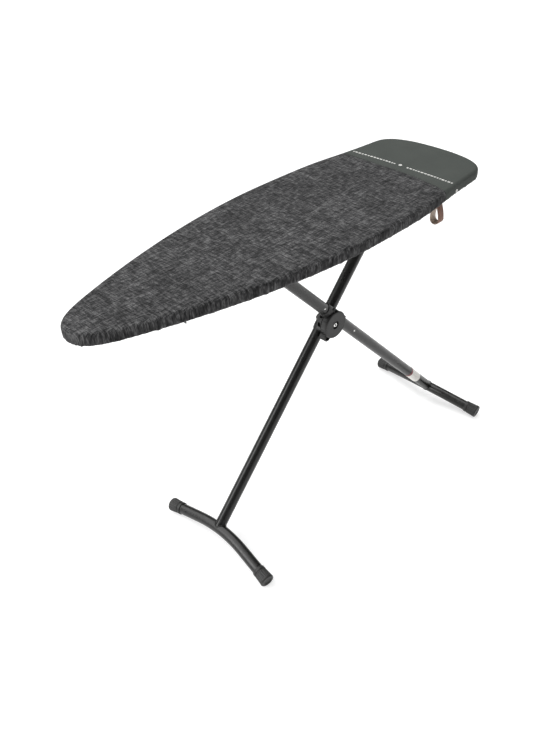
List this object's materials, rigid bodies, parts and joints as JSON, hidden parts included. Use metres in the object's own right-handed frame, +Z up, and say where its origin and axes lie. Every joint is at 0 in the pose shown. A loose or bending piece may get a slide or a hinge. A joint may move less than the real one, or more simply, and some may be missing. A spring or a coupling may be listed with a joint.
{
  "type": "ironing board",
  "caption": "Folding ironing board: a padded, cloth-covered board on crossed tube legs with curved foot bars, a notched height catch and a leather release loop.",
  "frame": {"origin": "on the floor under the middle of the whole object at its highest setting", "axes": "+Z up, +X from the nose to the heat zone, +Y to the side away from the leather loop"},
  "size_m": [1.4071, 0.462, 0.9825],
  "materials": {
    "denim": "charcoal denim-like weave with paler slubs, matt",
    "heat_cloth": "plain dark grey-green close weave, matt",
    "felt": "grey felt and foam",
    "black_paint": "satin black powder coat",
    "black_plastic": "moulded, fine satin grain",
    "grey_plastic": "moulded, plain",
    "zinc": "zinc plated",
    "bright_steel": "bright plated",
    "leather": "smooth brown, paler flesh side",
    "label": "printed film, plain with a dark red stripe"
  },
  "bodies": {
    "board": {"board_rim": "black_paint", "board_panel": "zinc", "felt_pad": "felt", "cover_main": "denim", "cover_heat_zone": "heat_cloth", "cross_brace_front": "black_paint", "cross_brace_middle": "black_paint", "cross_brace_rear": "black_paint", "slide_rail_left": "zinc", "slide_rail_right": "zinc", "height_rack": "zinc", "hinge_mount_plate": "black_paint", "hinge_bracket_left": "black_paint", "hinge_bracket_right": "black_paint", "rod_guide_front": "black_paint", "rod_guide_middle": "black_paint", "rod_guide_rear": "black_paint", "release_spring": "bright_steel"},
    "front_leg": {"front_leg_tube": "black_paint", "front_leg_plug": "black_plastic", "hinge_tube": "black_paint", "hinge_cap_left": "black_plastic", "hinge_cap_right": "black_plastic", "front_foot_bar": "black_paint", "front_foot_cap_left": "black_plastic", "front_foot_cap_right": "black_plastic", "pivot_bracket_front": "black_plastic", "pivot_nut": "bright_steel"},
    "rear_leg": {"rear_leg_tube": "black_paint", "rear_leg_plug": "black_plastic", "rear_leg_axle": "zinc", "rear_foot_bar": "black_paint", "rear_foot_cap_left": "black_plastic", "rear_foot_cap_right": "black_plastic", "pivot_bracket_rear": "black_plastic", "pivot_cover": "black_plastic", "pivot_bolt": "bright_steel", "pivot_spacer": "bright_steel", "rear_leg_rivet_upper": "bright_steel", "rear_leg_rivet_lower": "bright_steel", "leg_label": "label"},
    "carriage": {"slide_shoe_left": "grey_plastic", "slide_shoe_right": "grey_plastic", "carriage_plate": "zinc"},
    "catch": {"catch_plate": "zinc", "catch_pin": "zinc"},
    "release": {"release_rod": "black_paint", "release_blade": "zinc", "leather_loop": "leather"}
  },
  "joints": [
    {"name": "fold", "type": "hinge", "parent": "board", "child": "front_leg", "pos_m": [0.41902, 0, 0.9255], "axis": [0, 1, 0], "range_deg": [0, 44.5]},
    {"name": "scissor_pivot", "type": "hinge", "parent": "front_leg", "child": "rear_leg", "pos_m": [0.124, 0, 0.6015], "axis": [0, 1, 0], "range_deg": [-89, 0]},
    {"name": "carriage_pivot", "type": "hinge", "parent": "rear_leg", "child": "carriage", "pos_m": [-0.17102, 0, 0.9255], "axis": [0, 1, 0], "range_deg": [0, 44.5]},
    {"name": "catch_swing", "type": "hinge", "parent": "carriage", "child": "catch", "pos_m": [-0.17102, 0, 0.9255], "axis": [0, 1, 0], "range_deg": [0, 18]},
    {"name": "release_lever", "type": "hinge", "parent": "board", "child": "release", "pos_m": [-0.0285, -0.071, 0.908], "axis": [1, 0, 0], "range_deg": [0, 18], "stiffness_Nm_per_rad": 1.5, "springref_deg": -20.05}
  ],
  "couplings": [
    {"joint": "scissor_pivot", "follows": "fold", "ratio": -2},
    {"joint": "carriage_pivot", "follows": "fold", "ratio": 1},
    {"joint": "catch_swing", "follows": "release_lever", "ratio": 1}
  ]
}
